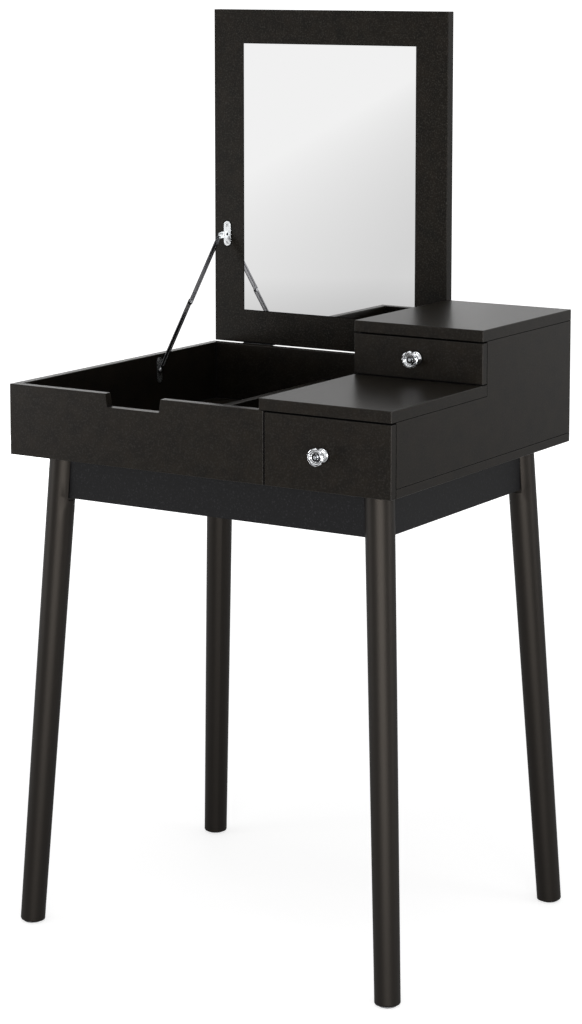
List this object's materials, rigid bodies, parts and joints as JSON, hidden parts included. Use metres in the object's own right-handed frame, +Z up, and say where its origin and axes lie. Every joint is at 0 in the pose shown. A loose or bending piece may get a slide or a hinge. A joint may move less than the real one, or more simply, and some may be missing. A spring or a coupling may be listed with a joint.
{
  "type": "flip top vanity table",
  "caption": "Small vanity table on four splayed round legs, with a flip-up mirror lid over an open bay, a lower drawer, and a raised rear box with a small drawer.",
  "frame": {"origin": "on the floor, under the middle of the table's outline with the lid open", "axes": "+X to the right as seen from the front, -Y towards the sitter, +Z up"},
  "size_m": [0.587, 0.5212, 1.2175],
  "materials": {
    "black_melamine": "matt black melamine-faced board, fine pebble texture",
    "black_lacquer": "satin black lacquer on turned solid wood",
    "black_paint": "satin black paint on the aprons",
    "beech": "bare beech dowels",
    "zinc_steel": "bright zinc-plated steel",
    "dark_steel": "blackened steel",
    "runner_steel": "grey epoxy-coated steel",
    "mirror": "silvered float glass",
    "tape": "double-sided foam tape",
    "chrome": "polished chrome plate",
    "crystal": "clear faceted crystal",
    "glide": "grey plastic glide"
  },
  "bodies": {
    "frame": {"bottom_board": "black_melamine", "left_side_panel": "black_melamine", "right_side_panel": "black_melamine", "divider_panel": "black_melamine", "back_panel": "black_melamine", "front_left_panel": "black_melamine", "tray_divider": "black_melamine", "lower_top": "black_melamine", "box_left_wall": "black_melamine", "upper_top": "black_melamine", "apron_front": "black_paint", "apron_back": "black_paint", "apron_left": "black_paint", "apron_right": "black_paint", "leg_front_left": "black_lacquer", "leg_front_right": "black_lacquer", "leg_rear_right": "black_lacquer", "leg_rear_left": "black_lacquer", "foot_glides": "glide", "corner_brackets": "zinc_steel", "leg_bolts": "zinc_steel", "leg_nuts": "zinc_steel", "bracket_screws": "zinc_steel", "apron_dowels": "beech", "case_screws": "zinc_steel", "case_dowels": "beech", "hinge_case_leaves": "dark_steel", "hinge_pins": "zinc_steel", "hardware_screws_case": "zinc_steel", "stay_base_bracket": "zinc_steel", "runner_channels": "runner_steel"},
    "lid": {"lid_board": "black_melamine", "mirror_glass": "mirror", "mirror_tape": "tape", "hinge_lid_leaves": "dark_steel", "hardware_screws_lid": "zinc_steel", "stay_lid_bracket": "zinc_steel", "stay_lid_rivet": "zinc_steel"},
    "stay_upper": {"stay_upper_arm": "dark_steel", "stay_mid_rivet": "zinc_steel"},
    "stay_lower": {"stay_lower_arm": "dark_steel", "stay_base_rivet": "zinc_steel"},
    "lower_drawer": {"lower_drawer_front": "black_melamine", "lower_drawer_left_side": "black_melamine", "lower_drawer_right_side": "black_melamine", "lower_drawer_back": "black_melamine", "lower_drawer_bottom": "black_melamine", "lower_drawer_rails": "runner_steel", "lower_knob_base": "chrome", "lower_knob_crystal": "crystal", "lower_drawer_fasteners": "zinc_steel"},
    "upper_drawer": {"upper_drawer_front": "black_melamine", "upper_drawer_left_side": "black_melamine", "upper_drawer_right_side": "black_melamine", "upper_drawer_back": "black_melamine", "upper_drawer_bottom": "black_melamine", "upper_knob_base": "chrome", "upper_knob_crystal": "crystal", "upper_drawer_fasteners": "zinc_steel"}
  },
  "joints": [
    {"name": "lid_hinge", "type": "hinge", "parent": "frame", "child": "lid", "pos_m": [-0.097, 0.2436, 0.7333], "axis": [1, 0, 0], "range_deg": [0, 90]},
    {"name": "stay_lid_pivot", "type": "hinge", "parent": "lid", "child": "stay_upper", "pos_m": [-0.2745, 0.2346, 0.8913], "axis": [1, 0, 0], "range_deg": [0, 36.84]},
    {"name": "stay_knee", "type": "hinge", "parent": "stay_upper", "child": "stay_lower", "pos_m": [-0.2755, 0.1601, 0.8018], "axis": [1, 0, 0], "range_deg": [-174.11, 0]},
    {"name": "lower_drawer_slide", "type": "slide", "parent": "frame", "child": "lower_drawer", "axis": [0, -1, 0], "range_m": [0, 0.29]},
    {"name": "upper_drawer_slide", "type": "slide", "parent": "frame", "child": "upper_drawer", "axis": [0, -1, 0], "range_m": [0, 0.14]}
  ],
  "couplings": [
    {"joint": "stay_lid_pivot", "follows": "lid_hinge", "ratio": 0.40912},
    {"joint": "stay_knee", "follows": "lid_hinge", "ratio": -1.9344}
  ]
}
